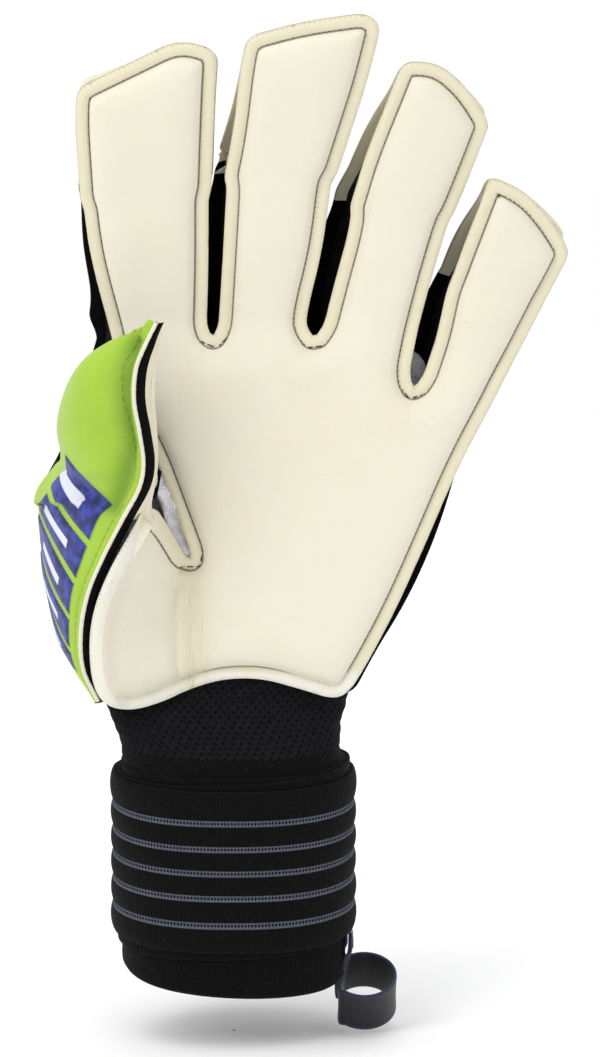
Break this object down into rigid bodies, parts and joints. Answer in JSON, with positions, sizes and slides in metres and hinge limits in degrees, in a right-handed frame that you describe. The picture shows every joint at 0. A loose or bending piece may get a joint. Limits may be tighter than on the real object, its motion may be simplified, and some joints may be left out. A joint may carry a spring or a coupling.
{
  "type": "goalkeeper glove",
  "caption": "Left goalkeeper glove held open: latex palm and finger stalls that bend, stiff backhand, elastic wrist bandage with wrap strap and ribbon pull loop.",
  "frame": {"origin": "centre of the wrist opening at the cuff's lower rim", "axes": "+Z from the wrist to the fingers, -Y out of the palm, -X the thumb side"},
  "size_m": [0.1533, 0.0872, 0.2977],
  "materials": {
    "latex": "matt fine-pored glove latex on foam",
    "black_knit": "matt black air-mesh knit",
    "black_back": "matt black padded fabric",
    "green_back": "padded synthetic, slight sheen",
    "blue_print": "moulded soft rubber, satin",
    "white_print": "moulded soft rubber, satin",
    "elastic": "ribbed woven elastic",
    "stripe": "woven grey stripe",
    "ribbon": "satin ribbon",
    "hook": "hook and loop tape",
    "lining": "thin knitted lining",
    "thread": "dark sewing thread"
  },
  "bodies": {
    "cuff": {"cuff_bandage": "elastic", "cuff_hem": "elastic", "strap_inner_turn": "elastic", "strap_outer_turn": "elastic", "strap_stripes": "stripe", "strap_loop_patch": "hook", "pull_loop_tack": "ribbon", "wrist_fold": "black_knit"},
    "hand": {"wrist_mesh_panel": "black_knit", "palm_latex": "latex", "palm_lining": "lining", "palm_seam_thread": "thread", "backhand_panel": "black_back", "backhand_green_panel": "green_back", "backhand_blue_bars": "blue_print", "backhand_pale_bars": "white_print", "side_panel_green": "green_back", "side_panel_blue_bars": "blue_print", "ulnar_gusset": "black_knit", "index_side_gusset": "black_knit", "thumb_web_gusset": "black_knit", "crotch_gussets": "black_knit"},
    "strap_end": {"strap_tab": "elastic", "strap_hook_patch": "hook"},
    "pull_loop": {"pull_loop": "ribbon"},
    "index_base": {"index_base_latex": "latex", "index_base_back": "black_back", "index_base_gussets": "black_knit", "index_folds": "latex"},
    "index_tip": {"index_tip_latex": "latex", "index_tip_back": "black_back", "index_tip_wrap": "latex"},
    "middle_base": {"middle_base_latex": "latex", "middle_base_back": "black_back", "middle_base_gussets": "black_knit", "middle_folds": "latex"},
    "middle_tip": {"middle_tip_latex": "latex", "middle_tip_back": "black_back", "middle_tip_wrap": "latex"},
    "ring_base": {"ring_base_latex": "latex", "ring_base_back": "black_back", "ring_base_gussets": "black_knit", "ring_folds": "latex"},
    "ring_tip": {"ring_tip_latex": "latex", "ring_tip_back": "black_back", "ring_tip_wrap": "latex"},
    "little_base": {"little_base_latex": "latex", "little_base_back": "black_back", "little_base_gussets": "black_knit", "little_folds": "latex"},
    "little_tip": {"little_tip_latex": "latex", "little_tip_back": "black_back", "little_tip_wrap": "latex"},
    "thumb_base": {"thumb_base_latex": "latex", "thumb_base_back": "green_back", "thumb_base_gussets": "black_knit", "thumb_folds": "green_back"},
    "thumb_tip": {"thumb_tip_latex": "latex", "thumb_tip_back": "green_back", "thumb_tip_wrap": "latex"}
  },
  "joints": [
    {"name": "wrist_flex", "type": "hinge", "parent": "cuff", "child": "hand", "pos_m": [0, 0, 0.066], "axis": [1, 0, 0], "range_deg": [-25, 25], "deforming": ["wrist_fold"]},
    {"name": "strap_end_peel", "type": "hinge", "parent": "cuff", "child": "strap_end", "pos_m": [-0.0125, 0.0303, 0.033], "axis": [0, 0, 1], "range_deg": [0, 120]},
    {"name": "pull_loop_swing", "type": "hinge", "parent": "cuff", "child": "pull_loop", "pos_m": [0.0348, 0, 0.0042], "axis": [0, 1, 0], "range_deg": [-90, 0]},
    {"name": "index_knuckle", "type": "hinge", "parent": "hand", "child": "index_base", "pos_m": [-0.021, -0.004, 0.186], "axis": [1, 0, 0], "range_deg": [-10, 45], "deforming": ["index_folds"]},
    {"name": "index_middle_joint", "type": "hinge", "parent": "index_base", "child": "index_tip", "pos_m": [-0.02244, -0.00714, 0.22186], "axis": [1, 0, 0], "range_deg": [0, 45], "deforming": ["index_folds"]},
    {"name": "middle_knuckle", "type": "hinge", "parent": "hand", "child": "middle_base", "pos_m": [0.0093, -0.004, 0.186], "axis": [1, 0, 0], "range_deg": [-10, 50], "deforming": ["middle_folds"]},
    {"name": "middle_middle_joint", "type": "hinge", "parent": "middle_base", "child": "middle_tip", "pos_m": [0.01632, -0.00766, 0.22784], "axis": [1, 0, 0], "range_deg": [0, 45], "deforming": ["middle_folds"]},
    {"name": "ring_knuckle", "type": "hinge", "parent": "hand", "child": "ring_base", "pos_m": [0.0409, -0.004, 0.186], "axis": [1, 0, 0], "range_deg": [-10, 50], "deforming": ["ring_folds"]},
    {"name": "ring_middle_joint", "type": "hinge", "parent": "ring_base", "child": "ring_tip", "pos_m": [0.05042, -0.00675, 0.21738], "axis": [1, 0, 0], "range_deg": [0, 45], "deforming": ["ring_folds"]},
    {"name": "little_knuckle", "type": "hinge", "parent": "hand", "child": "little_base", "pos_m": [0.0708, -0.004, 0.175], "axis": [1, 0, 0], "range_deg": [-10, 50], "deforming": ["little_folds"]},
    {"name": "little_middle_joint", "type": "hinge", "parent": "little_base", "child": "little_tip", "pos_m": [0.07788, -0.00583, 0.19592], "axis": [1, 0, 0], "range_deg": [0, 45], "deforming": ["little_folds"]},
    {"name": "thumb_knuckle", "type": "hinge", "parent": "hand", "child": "thumb_base", "pos_m": [-0.03468, -0.02281, 0.11268], "axis": [-0.8109, 0.547, 0.2079], "range_deg": [-25, 5], "deforming": ["thumb_folds"]},
    {"name": "thumb_middle_joint", "type": "hinge", "parent": "thumb_base", "child": "thumb_tip", "pos_m": [-0.03206, -0.03212, 0.14736], "axis": [-0.8109, 0.547, 0.2079], "range_deg": [-5, 12], "deforming": ["thumb_folds"]}
  ]
}
